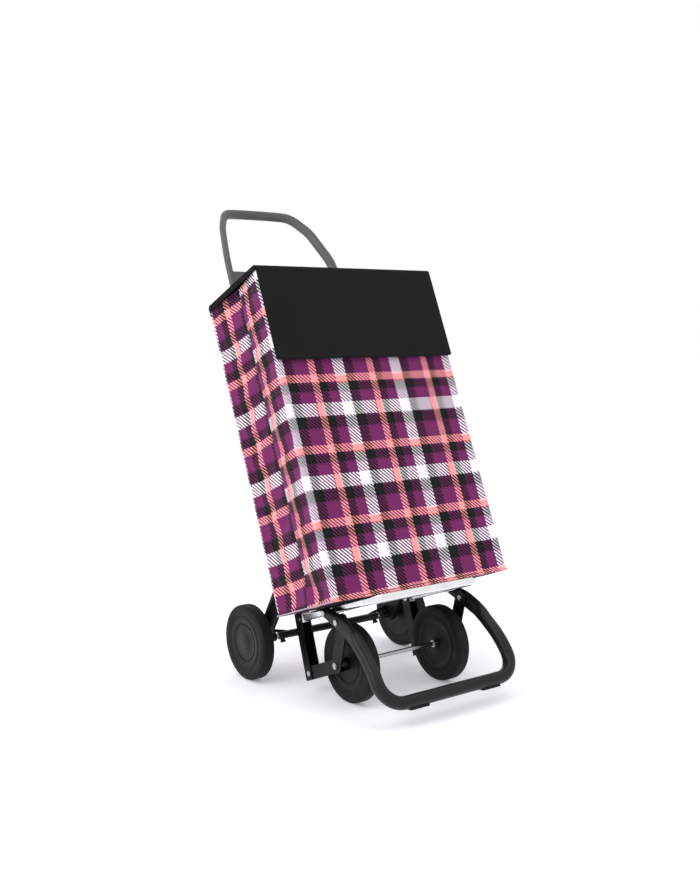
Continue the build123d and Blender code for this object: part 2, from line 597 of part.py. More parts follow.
def make_rail_fittings():
    """The pivot blocks and the snap clips that hold the carriage on each rail."""
    reach = RAIL_RADIUS + CLIP_WALL
    fitting_out = ARM_IN - CLIP_GAP
    block = rail_block(PIVOT_UP, reach, fitting_out)
    block -= Pos(at(RAIL_X, -RAIL_BEHIND, PIVOT_UP)) * Cylinder(RAIL_RADIUS, 4 * reach)
    block -= rod(PIVOT, AXLE_RADIUS, RAIL_X - reach - 1, fitting_out + 1)
    pair("pivot_block", block)
    catch = catch_place()
    groove = CATCH_RADIUS + CATCH_PLAY
    clip = rail_block(catch[1], CLIP_HEIGHT / 2, RAIL_X + reach)
    jaw = capsule(catch, (-RAIL_BEHIND, catch[1]), groove + JAW_WALL)
    clip += slab(jaw, RAIL_X + RAIL_RADIUS, fitting_out)
    arm = (PIVOT[0] - REAR_AXLE[0], PIVOT[1] - REAR_AXLE[1])
    mouth = (catch[0] - arm[1] / 2, catch[1] + arm[0] / 2)
    clip -= slab(capsule(catch, mouth, groove), RAIL_X + reach, fitting_out + 1)
    clip -= Pos(at(RAIL_X, -RAIL_BEHIND, catch[1])) * Cylinder(RAIL_RADIUS, 4 * reach)
    pair("snap_clip", clip)


# ---- fasteners ----
def make_fasteners():
    bolts = []
    spans = [(upright_bolt(), CHANNEL_IN, CHANNEL_OUT), (truss_corner(), CHANNEL_IN, CHANNEL_OUT),
             (STAY_BOLT, LOWER_OUT, STAY_OUT + LOOP_PLATE),
             (leg_bolt(), RAIL_X - BAR_WIDTH / 2, STAY_OUT + LOOP_PLATE)]
    for place, low, high in spans:
        bolt = rod(place, BOLT_RADIUS, low, high)
        bolt += rod(place, HEAD_RADIUS, high, high + HEAD)
        bolt += rod(place, HEAD_RADIUS, low - HEAD, low)
        bolts.append(bolt)
    nodes["frame_rivets"] = both(Compound(children=bolts))
    spacer = ring(leg_bolt(), BOLT_RADIUS + SPACER_WALL, BOLT_RADIUS, RAIL_X + BAR_WIDTH / 2, STAY_OUT)
    nodes["loop_spacers"] = both(spacer)


def print_places(move):
    """The pivots and the pad's face in the row frame, in metres, for the record."""
    foot = radians(PARKED_LEAN)
    pad_reach = LOOP_RADIUS + PAD_DEPTH - PAD_SEAT
    pad_face = (LOOP_REACH - pad_reach * sin(foot), LOOP_BOTTOM - pad_reach * cos(foot))
    places = {"front_axle": at(0, *FRONT_AXLE), "rear_axle": at(0, *REAR_AXLE),
              "carriage_pivot": at(0, *PIVOT),
              "lid_pivot": at(0, *LID_PIVOT), "flap_pivot": at(0, *FLAP_PIVOT),
              "pad_face": at(PAD_SPACING / 2, *pad_face)}
    for name, place in places.items():
        moved = (move * Pos(place)).position
        print(name, [round(value / 1000, 6) for value in moved])
    print("lean", round(LEAN, 4))


def main():
    os.makedirs("parts", exist_ok=True)
    makers = [make_bag, make_lid, make_rails, make_handle, make_platform, make_upright,
              make_lower_channel, make_stay, make_foot_loop, make_wheels, make_axles, make_carriage,
              make_rail_fittings, make_fasteners]
    for maker in makers:
        maker()
    lean = Rot(-LEAN, 0, 0)
    whole = Compound(children=[lean * Part(shape.wrapped) for shape in nodes.values()]).bounding_box()
    move = Pos(0, -(whole.min.Y + whole.max.Y) / 2, -whole.min.Z) * lean
    for name, shape in nodes.items():
        export_step(move * Part(shape.wrapped), f"parts/{name}.step")
    print_places(move)


main()
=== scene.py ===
"""Looks of a four-wheeled shopping trolley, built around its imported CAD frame.

The soft pieces are drawn on the upright chassis: a place is (x, ahead, up) in metres, with x to
the right, ahead in front of the bag's back and up along it.  The chassis' own directions come
from the frame's joints, so every piece leans as the frame does.
"""
import json
import math

import bmesh
import bpy
from mathutils import Matrix, Vector


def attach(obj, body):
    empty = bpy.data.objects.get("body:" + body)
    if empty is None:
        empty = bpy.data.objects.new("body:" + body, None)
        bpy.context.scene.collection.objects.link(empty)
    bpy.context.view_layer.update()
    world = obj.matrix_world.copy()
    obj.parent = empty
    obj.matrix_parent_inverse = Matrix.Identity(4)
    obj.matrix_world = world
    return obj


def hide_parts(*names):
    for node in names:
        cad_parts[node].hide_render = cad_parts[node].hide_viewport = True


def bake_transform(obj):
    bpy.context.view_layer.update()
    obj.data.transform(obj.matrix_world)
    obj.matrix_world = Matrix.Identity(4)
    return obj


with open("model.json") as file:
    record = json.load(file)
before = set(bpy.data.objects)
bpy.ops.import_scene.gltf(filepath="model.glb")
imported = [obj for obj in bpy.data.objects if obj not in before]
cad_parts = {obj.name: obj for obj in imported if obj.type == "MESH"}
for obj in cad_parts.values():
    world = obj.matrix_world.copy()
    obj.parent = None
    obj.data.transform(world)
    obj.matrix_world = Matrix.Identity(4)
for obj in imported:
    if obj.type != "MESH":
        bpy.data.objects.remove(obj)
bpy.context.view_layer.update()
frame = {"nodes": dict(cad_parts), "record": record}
NODES = frame["nodes"]
JOINTS = {joint["name"]: joint for joint in frame["record"]["behaviour"]["joints"]}
MM = 0.001

# ---- the upright chassis ----
PIVOT_AHEAD = -0.030
PIVOT_UP = 0.060
FRONT_AXLE = (0.057, -0.110)
REAR_AXLE = (-0.146, -0.023)
UP = Vector(JOINTS["left_button_press"]["axis"]).normalized()
RIGHT = Vector((1, 0, 0))
AHEAD = UP.cross(RIGHT) * -1
ORIGIN = Vector(JOINTS["carriage_fold"]["pos_m"]) - AHEAD * PIVOT_AHEAD - UP * PIVOT_UP
CHASSIS = Matrix.Translation(ORIGIN) @ Matrix((RIGHT, AHEAD, UP)).transposed().to_4x4()

# ---- sizes ----
BAG_SIDE = 0.2055
BAG_DEPTH = 0.190
BAG_BACK_TOP = 0.608
BAG_FRONT_TOP = 0.610
BASE_DROP = 0.009
SIDE_FOLD = 0.011
FOLD_AHEAD = 0.100
FOLD_FOOT = 0.062          # the side's fold opens into two creases below this height
CLOTH = 0.0016
LID_UNDER = 0.612
LID_TOP = 0.6149
FLAP_END = 0.4305
LID_CLOTH = 0.0016
LID_DOME = 0.0011
BAND = 0.011
BAND_SECTION = (BAND * 0.36, 0.0014)
HINGE_TAPE_FOOT = 0.596
HEM_SECTION = (0.0013, 0.0005)
RAIL_X = 0.130
HANDLE_FOOT = 0.628
HANDLE_BEND_UP = 0.684      # the legs are straight below here
HANDLE_TOP = 0.864
HANDLE_BEHIND = 0.011
HANDLE_SET_BACK = 0.060
HANDLE_SECTION = (0.0100, 0.0066)
LOOP_X = 0.149
LOOP_REACH = 0.193
LOOP_BOTTOM = -0.199
LOOP_CORNER = 0.042
LOOP_RADIUS = 0.0115
LOOP_SPLAY = 0.005
LOOP_PLATE = 0.014         # thickness of the leg's flat end
LOOP_TIP_RADIUS = 0.0105
LOOP_FLAT_RADIUS = 0.0155
LOOP_FLAT_END = 0.064      # from the leg's tip
LOOP_FLARE = 0.030
LEG_BOLT = (0.078, -0.0152)
STAY_BOLT = (0.110, -0.038)
WHEEL_RADIUS = 0.0725
HUB_RADIUS = 0.049
FRONT_WHEEL_X = 0.1065
REAR_WHEEL_X = 0.189
WHEEL_STEPS = 144
SETT = 0.134               # width of one repeat of the check
HATCHES = 17.0             # diagonal lines in one repeat
JAG = 0.0038               # step of a stripe's edge from line to line
CLOTH_STEP = 0.0079        # spacing of the bag's mesh
CLOTH_SHIFT = 0.005        # the furthest the cloth settles
EDGE_BEVEL = 0.0005

# ---- camera ----
AZIMUTH = -36.42
PITCH = -6.08
LENS = 45.09
CAMERA_X = -1.2538
CAMERA_AHEAD_OF_AXLE = 1.7711
CAMERA_UP = 0.6957


# ---- mesh helpers ----
def add_mesh(name, vertices, faces, material, smooth=True, chassis=True):
    mesh = bpy.data.meshes.new(name)
    mesh.from_pydata([tuple(v) for v in vertices], [], [tuple(f) for f in faces])
    if chassis:
        mesh.transform(CHASSIS)
    mesh.materials.append(material)
    piece = bpy.data.objects.new(name, mesh)
    bpy.context.scene.collection.objects.link(piece)
    mesh.polygons.foreach_set("use_smooth", [smooth] * len(mesh.polygons))
    mesh.update()
    return piece


def fix_normals(piece):
    work = bmesh.new()
    work.from_mesh(piece.data)
    bmesh.ops.recalc_face_normals(work, faces=work.faces)
    work.to_mesh(piece.data)
    work.free()


def add_modifier(piece, kind, **settings):
    modifier = piece.modifiers.new(kind.title(), kind)
    for key, value in settings.items():
        setattr(modifier, key, value)
    return modifier


def grid_faces(rows, columns, closed=False):
    """Quads of a grid of vertices laid out row by row."""
    faces = []
    last = columns if closed else columns - 1
    for row in range(rows - 1):
        for column in range(last):
            following = (column + 1) % columns
            low = row * columns
            high = low + columns
            faces.append((low + column, low + following, high + following, high + column))
    return faces


def smooth_steps(start, end, count):
    return [start + (end - start) * step / (count - 1) for step in range(count)]


def rounded_path(corners, radii, spacing=0.004):
    """Points along straight runs joined by tangent arcs."""
    points = [Vector(corners[0])]
    for corner, before, after, radius in zip(corners[1:-1], corners[:-2], corners[2:], radii):
        corner = Vector(corner)
        arrive = (corner - Vector(before)).normalized()
        leave = (Vector(after) - corner).normalized()
        turn = arrive.angle(leave)
        reach = radius * math.tan(turn / 2)
        start = corner - arrive * reach
        inward = (leave - arrive * arrive.dot(leave)).normalized()
        centre = start + inward * radius
        steps = max(4, int(radius * turn / spacing))
        for step in range(steps + 1):
            angle = turn * step / steps
            points.append(centre - inward * radius * math.cos(angle) + arrive * radius * math.sin(angle))
    points.append(Vector(corners[-1]))
    return spread(points, spacing)


def spread(points, spacing):
    """The same line, with points no further apart than the spacing."""
    line = [points[0]]
    for point in points[1:]:
        gap = (point - line[-1]).length
        if gap < 1e-6:
            continue
        count = max(1, math.ceil(gap / spacing))
        start = line[-1].copy()
        line.extend(start.lerp(point, step / count) for step in range(1, count + 1))
    return line


def swept(name, path, first_side, size_at, material, sides=28, power=2.0):
    """A tube along a path; size_at gives its two half widths at a share of the length."""
    side = Vector(first_side)
    rings = []
    for index, point in enumerate(path):
        tangent = path[min(index + 1, len(path) - 1)] - path[max(index - 1, 0)]
        tangent.normalize()
        side = (side - tangent * side.dot(tangent)).normalized()
        other = tangent.cross(side)
        wide, narrow = size_at(index / (len(path) - 1))
        for step in range(sides):
            angle = 2 * math.pi * step / sides
            across = math.copysign(abs(math.cos(angle)) ** (2 / power), math.cos(angle))
            along = math.copysign(abs(math.sin(angle)) ** (2 / power), math.sin(angle))
            rings.append(point + side * wide * across + other * narrow * along)
    faces = grid_faces(len(path), sides, closed=True)
    count = len(path)
    faces.append(tuple(range(sides)))
    faces.append(tuple(range((count - 1) * sides, count * sides)))
    piece = add_mesh(name, rings, faces, material)
    fix_normals(piece)
    return piece


def lathe(name, profile, centre, material, segments=120, mirrored=False):
    """A closed outline of (x, radius) points turned about the wheel's axle."""
    sign = -1 if mirrored else 1
    vertices = []
    for step in range(segments):
        angle = 2 * math.pi * step / segments
        for x, radius in profile:
            vertices.append((centre[0] + sign * x, centre[1] + radius * math.cos(angle),
                             centre[2] + radius * math.sin(angle)))
    count = len(profile)
    faces = []
    for step in range(segments):
        low = step * count
        high = (step + 1) % segments * count
        for index in range(count):
            following = (index + 1) % count
            faces.append((low + index, low + following, high + following, high + index))
    piece = add_mesh(name, vertices, faces, material)
    fix_normals(piece)
    add_modifier(piece, "EDGE_SPLIT", split_angle=math.radians(40))
    return piece


# ---- materials ----
class Shader:
    """A material's node tree, with short ways to add to it."""

    def __init__(self, name, colour, roughness, metallic=0.0, **sockets):
        self.material = bpy.data.materials.new(name)
        self.material.use_nodes = True
        self.tree = self.material.node_tree
        self.surface = self.tree.nodes["Principled BSDF"]
        self.surface.inputs["Base Color"].default_value = (*colour, 1)
        self.surface.inputs["Roughness"].default_value = roughness
        self.surface.inputs["Metallic"].default_value = metallic
        for socket, value in sockets.items():
            self.surface.inputs[socket.replace("_", " ")].default_value = value

    def node(self, kind, **settings):
        node = self.tree.nodes.new("ShaderNode" + kind)
        for key, value in settings.items():
            setattr(node, key, value)
        return node

    def link(self, start, end):
        self.tree.links.new(start, end)

    def math(self, operation, first, second=0.0):
        node = self.node("Math", operation=operation)
        for socket, value in zip(node.inputs, (first, second)):
            if isinstance(value, (int, float)):
                socket.default_value = value
            else:
                self.link(value, socket)
        return node.outputs[0]

    def noise(self, scale, detail=3.0, roughness=0.5, vector=None):
        if vector is None:
            vector = self.node("TexCoord").outputs["Object"]
        node = self.node("TexNoise")
        node.inputs["Scale"].default_value = scale
        node.inputs["Detail"].default_value = detail
        node.inputs["Roughness"].default_value = roughness
        self.link(vector, node.inputs["Vector"])
        return node.outputs["Fac"]

    def ramp(self, value, stops, interpolation="LINEAR"):
        """Stops are (place, colour or grey)."""
        node = self.node("ValToRGB")
        node.color_ramp.interpolation = interpolation
        elements = node.color_ramp.elements
        while len(elements) < len(stops):
            elements.new(0.5)
        for element, (place, colour) in zip(elements, stops):
            element.position = place
            element.color = (*colour, 1) if isinstance(colour, tuple) else (colour, colour, colour, 1)
        self.link(value, node.inputs["Fac"])
        return node.outputs["Color"]

    def mix(self, share, first, second, blend="MIX"):
        node = self.node("Mix", data_type="RGBA", blend_type=blend)
        for socket, value in ((node.inputs[0], share), (node.inputs[6], first), (node.inputs[7], second)):
            if isinstance(value, tuple):
                socket.default_value = (*value, 1)
            elif isinstance(value, (int, float)):
                socket.default_value = value
            else:
                self.link(value, socket)
        return node.outputs[2]

    def colour(self, value):
        self.link(value, self.surface.inputs["Base Color"])

    def roughness(self, value):
        self.link(value, self.surface.inputs["Roughness"])

    def bump(self, *layers):
        """Each layer is (height, distance in metres)."""
        normal = None
        for height, distance in layers:
            node = self.node("Bump")
            node.inputs["Strength"].default_value = 1.0
            node.inputs["Distance"].default_value = distance
            self.link(height, node.inputs["Height"])
            if normal is not None:
                self.link(normal, node.inputs["Normal"])
            normal = node.outputs["Normal"]
        self.link(normal, self.surface.inputs["Normal"])


def srgb(red, green, blue):
    """A screen colour from 0 to 255, as linear light."""
    def linear(value):
        value /= 255
        return value / 12.92 if value <= 0.04045 else ((value + 0.055) / 1.055) ** 2.4
    return tuple(linear(value) for value in (red, green, blue))


WHITE = srgb(240, 236, 243)
BLACK = srgb(15, 19, 19)
PURPLE = srgb(112, 36, 92)
PINK = srgb(250, 156, 156)
SETT_STRIPES = ((WHITE, 25), (BLACK, 22), (PURPLE, 32), (PINK, 15), (BLACK, 18), (PURPLE, 22))


def sett_stops(only=None):
    """The check's stripes as ramp stops over one repeat, or a mask of one colour's stripes."""
    stops = []
    place = 0.0
    for colour, width in SETT_STRIPES:
        stops.append((place, colour if only is None else float(colour == only)))
        place += width * MM / SETT
    return stops


def make_check_cloth():
    shader = Shader("check_cloth", WHITE, 0.8, Sheen_Weight=0.05, Sheen_Roughness=0.5,
                    Specular_IOR_Level=0.12)
    cloth = shader.node("UVMap", uv_map="cloth").outputs["UV"]
    split = shader.node("SeparateXYZ")
    shader.link(cloth, split.inputs[0])
    across, along = split.outputs["X"], split.outputs["Y"]
    # diagonal lines show one yarn or the other, and make the stripes' edges jagged
    hatch = shader.math("FRACT", shader.math("MULTIPLY", shader.math("ADD", across, along), HATCHES))
    over = shader.math("GREATER_THAN", hatch, 0.5)
    jag = shader.math("MULTIPLY", shader.math("SUBTRACT", over, 0.5), JAG / SETT)
    warp_place = shader.math("FRACT", shader.math("ADD", across, jag))
    weft_place = shader.math("FRACT", shader.math("ADD", shader.math("MULTIPLY", along, -1.0), jag))
    warp = shader.ramp(warp_place, sett_stops(), "CONSTANT")
    weft = shader.ramp(weft_place, sett_stops(), "CONSTANT")
    colour = shader.mix(over, warp, weft)
    pink_white = [shader.math("MULTIPLY", shader.ramp(first, sett_stops(PINK), "CONSTANT"),
                              shader.ramp(second, sett_stops(WHITE), "CONSTANT"))
                  for first, second in ((warp_place, weft_place), (weft_place, warp_place))]
    colour = shader.mix(shader.math("MAXIMUM", *pink_white), colour, PINK)
    # a black yarn beside a lighter one shades it
    dark = [shader.ramp(part, sett_stops(BLACK), "CONSTANT") for part in (warp_place, weft_place)]
    beside = shader.math("ABSOLUTE", shader.math("SUBTRACT", *dark))
    shade = shader.ramp(beside, [(0.0, 1.0), (1.0, 0.62)])
    colour = shader.mix(1.0, colour, shade, "MULTIPLY")
    worn = shader.ramp(shader.noise(9.0, 4.0), [(0.3, 0.95), (0.75, 1.0)])
    colour = shader.mix(1.0, colour, worn, "MULTIPLY")
    shader.colour(colour)
    yarn = shader.math("SINE", shader.math("MULTIPLY", across, 2 * math.pi * 148))
    cross = shader.math("SINE", shader.math("MULTIPLY", along, 2 * math.pi * 148))
    weave = shader.math("MULTIPLY", yarn, cross)
    shader.bump((weave, 0.00005), (hatch, 0.00012), (shader.noise(11.0, 2.0), 0.0026))
    shader.roughness(shader.ramp(hatch, [(0.0, 0.76), (1.0, 0.86)]))
    return shader.material


def make_coated_cloth(name, colour, roughness):
    """A dense plain weave with a matt coating."""
    shader = Shader(name, colour, roughness, Specular_IOR_Level=0.12)
    place = shader.node("TexCoord").outputs["Object"]
    waves = []
    for direction in ("X", "DIAGONAL"):
        wave = shader.node("TexWave", wave_type="BANDS", bands_direction=direction)
        wave.inputs["Scale"].default_value = 190.0
        wave.inputs["Distortion"].default_value = 0.4
        shader.link(place, wave.inputs["Vector"])
        waves.append(wave.outputs["Fac"])
    weave = shader.math("MULTIPLY", *waves)
    grain = shader.noise(420.0, 2.0)
    tone = shader.ramp(shader.noise(7.0, 5.0), [(0.3, 0.82), (0.7, 1.0)])
    shader.colour(shader.mix(1.0, colour, tone, "MULTIPLY"))
    shader.roughness(shader.ramp(grain, [(0.3, roughness - 0.08), (0.7, roughness + 0.06)]))
    shader.bump((weave, 0.00012), (grain, 0.00008), (shader.noise(10.0, 3.0), 0.0015))
    return shader.material


def make_tape(name, colour):
    shader = Shader(name, colour, 0.85, Specular_IOR_Level=0.12)
    place = shader.node("TexCoord").outputs["Object"]
    wave = shader.node("TexWave", wave_type="BANDS", bands_direction="DIAGONAL")
    wave.inputs["Scale"].default_value = 260.0
    shader.link(place, wave.inputs["Vector"])
    rib_height_and_highlight = wave.outputs["Fac"]
    # painted highlight: the colour is painted lighter where the ribs stand up, as if light caught their
    # crests
    shader.colour(shader.mix(rib_height_and_highlight, colour, tuple(min(1.0, c * 1.5 + 0.002) for c in colour)))
    shader.bump((rib_height_and_highlight, 0.0002), (shader.noise(500.0, 2.0), 0.0001))
    return shader.material


def make_plastic(name, colour, roughness, grain_scale=900.0, depth=0.00004, shine=0.2):
    shader = Shader(name, colour, roughness, Specular_IOR_Level=shine)
    grain = shader.noise(grain_scale, 2.0)
    cloud = shader.noise(22.0, 4.0)
    shader.colour(shader.mix(1.0, colour, shader.ramp(cloud, [(0.3, 0.86), (0.75, 1.0)]), "MULTIPLY"))
    shader.roughness(shader.ramp(cloud, [(0.3, roughness - 0.05), (0.7, roughness + 0.08)]))
    shader.bump((grain, depth), (shader.noise(60.0, 3.0), depth * 2))
    return shader.material


def make_powder_coat(name, colour, roughness=0.38, shine=0.18):
    shader = Shader(name, colour, roughness, Specular_IOR_Level=shine)
    peel = shader.noise(700.0, 2.0)
    wear = shader.noise(45.0, 6.0, 0.65)
    bare = srgb(46, 46, 48)
    scuffed = shader.ramp(wear, [(0.0, 0.0), (0.68, 0.0), (0.78, 0.35)])
    shader.colour(shader.mix(scuffed, colour, bare))
    shader.roughness(shader.ramp(wear, [(0.3, roughness - 0.06), (0.7, roughness + 0.1)]))
    shader.bump((peel, 0.00005), (shader.noise(120.0, 3.0), 0.00008))
    return shader.material


def make_rubber():
    shader = Shader("tyre_rubber", srgb(24, 24, 24), 0.66, Specular_IOR_Level=0.2)
    grain = shader.noise(650.0, 3.0)
    dust = shader.ramp(shader.noise(16.0, 6.0, 0.6), [(0.35, srgb(16, 16, 16)), (0.7, srgb(28, 27, 27))])
    shader.colour(dust)
    shader.roughness(shader.ramp(shader.noise(30.0, 4.0), [(0.3, 0.58), (0.7, 0.76)]))
    shader.bump((grain, 0.00008), (shader.noise(90.0, 3.0), 0.0001))
    return shader.material


def make_metal(name, colour, roughness, brushed=True):
    shader = Shader(name, colour, roughness, metallic=1.0)
    place = shader.node("TexCoord").outputs["Object"]
    stretch = shader.node("Mapping")
    stretch.inputs["Scale"].default_value = (9.0, 700.0, 700.0) if brushed else (50.0, 50.0, 50.0)
    shader.link(place, stretch.inputs["Vector"])
    lines = shader.noise(1.0, 3.0, vector=stretch.outputs["Vector"])
    shader.roughness(shader.ramp(lines, [(0.3, roughness - 0.06), (0.7, roughness + 0.1)]))
    tone = shader.ramp(shader.noise(35.0, 4.0), [(0.3, 0.88), (0.7, 1.0)])
    shader.colour(shader.mix(1.0, colour, tone, "MULTIPLY"))
    shader.bump((lines, 0.000006 if brushed else 0.000002))
    return shader.material


MATERIALS = {
    "check": make_check_cloth(),
    "lid": make_coated_cloth("lid_cloth", srgb(20, 20, 21), 0.74),
    "lining": make_coated_cloth("bag_lining", srgb(40, 40, 44), 0.8),
    "tape": make_tape("binding_tape", srgb(15, 15, 16)),
    "thread": make_tape("sewing_thread", srgb(44, 44, 46)),
    "pale_tape": make_tape("pale_seam", srgb(150, 138, 152)),
    "grey": make_plastic("grey_plastic", srgb(84, 84, 84), 0.42, shine=0.35),
    "black": make_plastic("black_plastic", srgb(14, 14, 15), 0.45),
    "disc": make_plastic("wheel_plastic", srgb(17, 18, 18), 0.45, 500.0, 0.00006),
    "board": make_plastic("base_board", srgb(22, 22, 23), 0.7),
    "loop": make_powder_coat("loop_coat", srgb(20, 20, 20), 0.34, 0.26),
    "coat": make_powder_coat("black_coat", srgb(8, 8, 9), 0.3, 0.2),
    "rubber": make_rubber(),
    "aluminium": make_metal("satin_aluminium", (0.86, 0.87, 0.88), 0.2),
    "steel": make_metal("zinc_steel", (0.50, 0.50, 0.51), 0.22, brushed=False),
}
SLOT_LOOKS = {
    "aluminium": "aluminium",
    "bright_steel": "steel",
    "black_steel": "coat",
    "black_plastic": "black",
    "wheel_plastic": "disc",
    "tyre": "rubber",
    "black_rubber": "rubber",
    "grey_plastic": "grey",
    "board": "board",
    "webbing": "tape",
    "tartan_fabric": "check",
    "lid_fabric": "lid",
}
BEVELLED_SLOTS = ("black_steel", "aluminium", "bright_steel", "black_plastic", "grey_plastic")


def dress_cad_nodes():
    """Every kept CAD node gets its finish, and soft edges where it is sheet or moulded."""
    for row in frame["record"]["subparts"]:
        piece = NODES[row["node"]]
        look = MATERIALS[SLOT_LOOKS[row["material_slot"]]]
        piece.data.materials.clear()
        piece.data.materials.append(look)
        if row["material_slot"] in BEVELLED_SLOTS:
            add_modifier(piece, "BEVEL", width=EDGE_BEVEL, segments=2, limit_method="ANGLE",
                         angle_limit=math.radians(40))


# ---- bag ----
def fold_depth(ahead, up):
    """How far the bag's side stands in from flat."""
    if ahead > FOLD_AHEAD:
        share = 1 - (ahead - FOLD_AHEAD) / (BAG_DEPTH - FOLD_AHEAD)
    else:
        share = ahead / FOLD_AHEAD
    opened = max(0.0, up + BASE_DROP) / (FOLD_FOOT + BASE_DROP)
    return SIDE_FOLD * max(0.0, min(share, opened))


def bag_ring():
    """The bag's outline seen from above, as (kind, x, ahead) in order round it."""
    ring = []
    across = smooth_steps(-BAG_SIDE, BAG_SIDE, round(2 * BAG_SIDE / CLOTH_STEP) + 1)
    deep = smooth_steps(0.0, BAG_DEPTH, round(BAG_DEPTH / CLOTH_STEP) + 1)
    ring += [("front", x, BAG_DEPTH) for x in across[:-1]]
    ring += [("right", BAG_SIDE, ahead) for ahead in reversed(deep[1:])]
    ring += [("back", x, 0.0) for x in reversed(across[1:])]
    ring += [("left", -BAG_SIDE, ahead) for ahead in deep[:-1]]
    return ring


def cloth_place(kind, x, ahead, up, rear_half):
    """Where a point of the bag was on the flat cloth, counted in repeats of the check."""
    white_column = -0.0845
    white_row = 0.0785
    u, v = x, up
    if kind in ("right", "left"):
        sign = 1 if kind == "right" else -1
        u = sign * (BAG_SIDE + BAG_DEPTH - ahead)
        if rear_half:
            u = 0.057 + sign * ahead
            v = 0.574 - up
    elif kind == "back":
        u = -x
    return ((u - white_column) / SETT, (v - white_row) / SETT)


def make_bag():
    ring = bag_ring()
    count = len(ring)
    rows = 78
    vertices = []
    for row in range(rows):
        share = row / (rows - 1)
        for kind, x, ahead in ring:
            low = -BASE_DROP * ahead / BAG_DEPTH
            high = BAG_BACK_TOP + (BAG_FRONT_TOP - BAG_BACK_TOP) * ahead / BAG_DEPTH
            up = low + (high - low) * share
            inset = fold_depth(ahead, up) if kind in ("right", "left") else 0.0
            vertices.append((x - math.copysign(inset, x), ahead, up))
    faces = grid_faces(rows, count, closed=True)
    vertices = [(v[0] * (1 - CLOTH / BAG_SIDE), v[1], v[2]) for v in vertices]
    bag = add_mesh("bag_cloth", vertices, faces, MATERIALS["check"])
    bag.data.materials.append(MATERIALS["lining"])
    layer = bag.data.uv_layers.new(name="cloth")
    for polygon in bag.data.polygons:
        column = polygon.index % count
        kind = ring[column][0]
        middle_ahead = (ring[column][2] + ring[(column + 1) % count][2]) / 2
        rear_half = middle_ahead < FOLD_AHEAD
        for loop_index in polygon.loop_indices:
            index = bag.data.loops[loop_index].vertex_index
            x, ahead, up = vertices[index]
            layer.data[loop_index].uv = cloth_place(kind, x, ahead, up, rear_half)
    return bag, ring, rows


def settle_bag(bag, ring, rows):
    """Lets the cloth hang and fill a little, held at its seams, fold, base and rim."""
    group = bag.vertex_groups.new(name="held")
    count = len(ring)
    held = []
    for index, (kind, x, ahead) in enumerate(ring):
        corner = abs(abs(x) - BAG_SIDE) < 1e-6 and (ahead < 1e-6 or abs(ahead - BAG_DEPTH) < 1e-6)
        fold = kind in ("left", "right") and abs(ahead - FOLD_AHEAD) < 0.004
        if corner or fold:
            held.append(index)
    for row in range(rows):
        edge = row in (0, rows - 1)
        members = [row * count + index for index in (range(count) if edge else held)]
        group.add(members, 1.0, "REPLACE")
    cloth = bag.modifiers.new("Cloth", "CLOTH")
    settings = cloth.settings
    settings.vertex_group_mass = "held"
    settings.quality = 6
    settings.mass = 0.35
    settings.tension_stiffness = 18
    settings.compression_stiffness = 12
    settings.bending_stiffness = 1.6
    settings.use_pressure = True
    settings.uniform_pressure_force = 0.55
    settings.shrink_min = -0.012
    settings.effector_weights.gravity = 0.6
    scene = bpy.context.scene
    for step in range(1, 26):
        scene.frame_set(step)
    graph = bpy.context.evaluated_depsgraph_get()
    shape = bag.evaluated_get(graph).data
    start = [vertex.co.copy() for vertex in bag.data.vertices]
    moved = [vertex.co.copy() for vertex in shape.vertices]
    bag.modifiers.remove(cloth)
    for vertex, before, after in zip(bag.data.vertices, start, moved):
        shift = after - before
        if shift.length > CLOTH_SHIFT:
            shift *= CLOTH_SHIFT / shift.length
        vertex.co = before + shift
    scene.frame_set(1)
    bag.vertex_groups.remove(group)


def finish_bag():
    bag, ring, rows = make_bag()
    settle_bag(bag, ring, rows)
    add_modifier(bag, "SUBSURF", levels=1, render_levels=1, subdivision_type="CATMULL_CLARK")
    add_modifier(bag, "SOLIDIFY", thickness=CLOTH, offset=-1.0, material_offset=1)
    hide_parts("bag_front_panel", "bag_back_panel", "left_bag_side", "right_bag_side")
    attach(bag, "frame")


# ---- lid ----
def lid_line():
    """The lid's cloth seen from the side, from the hinge over the top and down the flap."""
    fold = 0.006
    points = [Vector((0.0, 0.002, LID_TOP)), Vector((0.0, BAG_DEPTH + 0.0035, LID_TOP + 0.0015)),
              Vector((0.0, BAG_DEPTH + 0.0022, FLAP_END))]
    return rounded_path(points, [fold], 0.0075)


def flap_sway(x, z):
    """How far the hanging flap stands ahead of flat."""
    drop = max(0.0, (LID_TOP - z) / (LID_TOP - FLAP_END))
    return 0.0018 * drop * (0.6 + 0.4 * math.cos(5.2 * x / BAG_SIDE + 0.8))


def make_stitches():
    """The sewing line above the flap's hem and down both of its edges."""
    ahead = BAG_DEPTH + 0.0022 + 0.0012
    runs = []
    low = FLAP_END + 0.007
    edge = BAG_SIDE - 0.006
    count = 92
    for step in range(count):
        runs.append((-edge + 2 * edge * (step + 0.5) / count, low, 0.0015, 0.0004))
    rise = LID_TOP - 0.014 - low
    for step in range(40):
        for x in (-edge, edge):
            runs.append((x, low + rise * (step + 0.5) / 40, 0.0004, 0.0015))
    vertices, faces = [], []
    for x, z, wide, tall in runs:
        near = ahead + flap_sway(x, z) - 0.0005
        first = len(vertices)
        vertices += [(x - wide, near, z - tall), (x + wide, near, z - tall), (x + wide, near, z + tall),
                     (x - wide, near, z + tall), (x, near + 0.0009, z)]
        faces += [(first + a, first + b, first + 4) for a, b in ((0, 1), (1, 2), (2, 3), (3, 0))]
        faces.append((first + 3, first + 2, first + 1, first))
    stitches = add_mesh("flap_stitches", vertices, faces, MATERIALS["thread"], smooth=False)
    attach(stitches, "flap")


